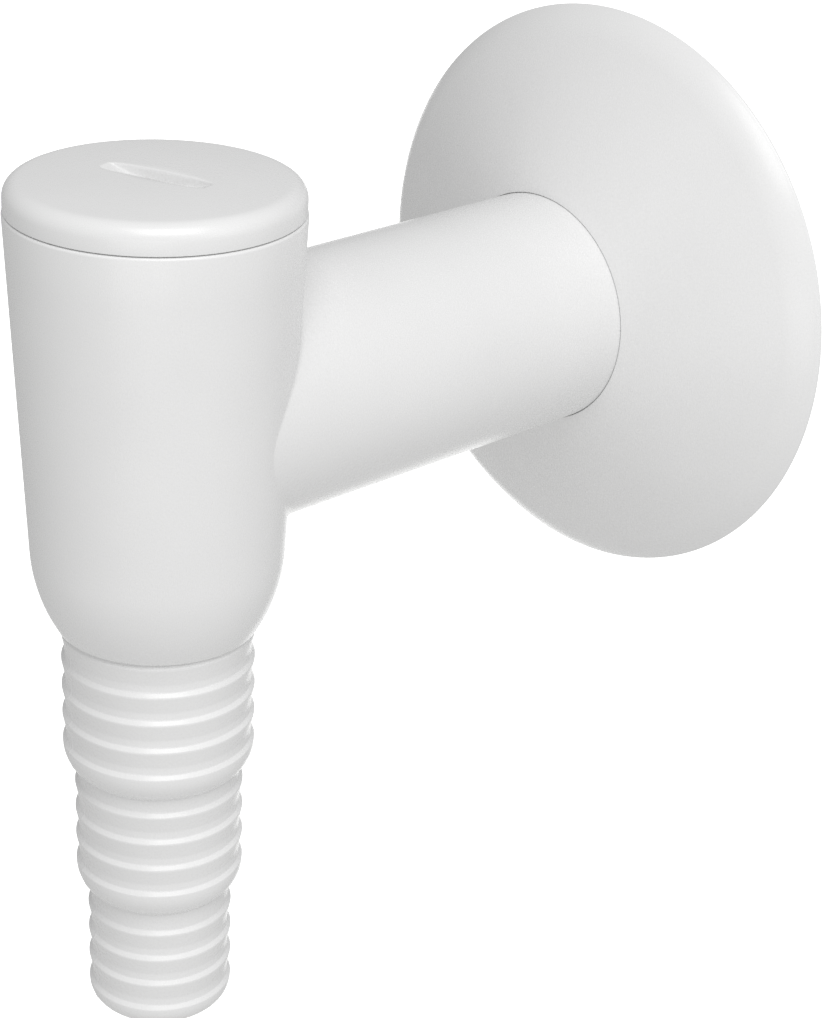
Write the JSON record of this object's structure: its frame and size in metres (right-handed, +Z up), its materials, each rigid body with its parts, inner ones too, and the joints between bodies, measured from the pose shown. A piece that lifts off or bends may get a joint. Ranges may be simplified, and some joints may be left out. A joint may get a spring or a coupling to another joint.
{
  "type": "wall-mounted appliance drain hose connector",
  "caption": "Wall connector for an appliance drain hose: conical housing with a ball check valve under a screw cap, stepped barbed hose tail, outlet tube and wall rosette.",
  "frame": {"origin": "on the outlet tube's axis, in the plane of the wall's face", "axes": "+Y along the outlet tube, into the wall; +Z up; the housing's upright axis is at y = -81 mm"},
  "size_m": [0.0814, 0.1174, 0.1254],
  "materials": {
    "abs_white": "moulded, semi-gloss",
    "pp_natural": "moulded, translucent natural",
    "epdm_black": "moulded rubber",
    "tpe_grey": "moulded, matt",
    "stainless": "rolled wire"
  },
  "bodies": {
    "housing": {"housing": "abs_white", "ball_cage": "pp_natural"},
    "cap_seal": {"cap_o_ring": "epdm_black"},
    "cap": {"cap": "abs_white"},
    "ball": {"valve_ball": "epdm_black"},
    "hose_tail": {"hose_tail": "abs_white", "tail_o_ring": "epdm_black", "tail_snap_ring": "stainless", "valve_seat_ring": "epdm_black"},
    "rosette_grip": {"rosette_grip_ring": "tpe_grey"},
    "rosette": {"rosette": "abs_white"}
  },
  "joints": [
    {"name": "cap_lift", "type": "slide", "parent": "housing", "child": "cap_seal", "axis": [0, 0, 1], "range_m": [0, 0.0075]},
    {"name": "cap_turn", "type": "hinge", "parent": "cap_seal", "child": "cap", "pos_m": [0, -0.081, 0.0295], "axis": [0, 0, 1], "range_deg": [0, 1080]},
    {"name": "ball_lift", "type": "slide", "parent": "housing", "child": "ball", "axis": [0, 0, 1], "range_m": [0, 0.009]},
    {"name": "hose_tail_turn", "type": "hinge", "parent": "housing", "child": "hose_tail", "pos_m": [0, -0.081, -0.0273], "axis": [0, 0, 1], "continuous": true},
    {"name": "rosette_slide", "type": "slide", "parent": "housing", "child": "rosette_grip", "axis": [0, -1, 0], "range_m": [0, 0.04]},
    {"name": "rosette_turn", "type": "hinge", "parent": "rosette_grip", "child": "rosette", "pos_m": [0, -0.006, 0], "axis": [0, 1, 0], "continuous": true}
  ],
  "couplings": [
    {"joint": "cap_lift", "follows": "cap_turn", "m_per_rad": 0.00039789}
  ]
}
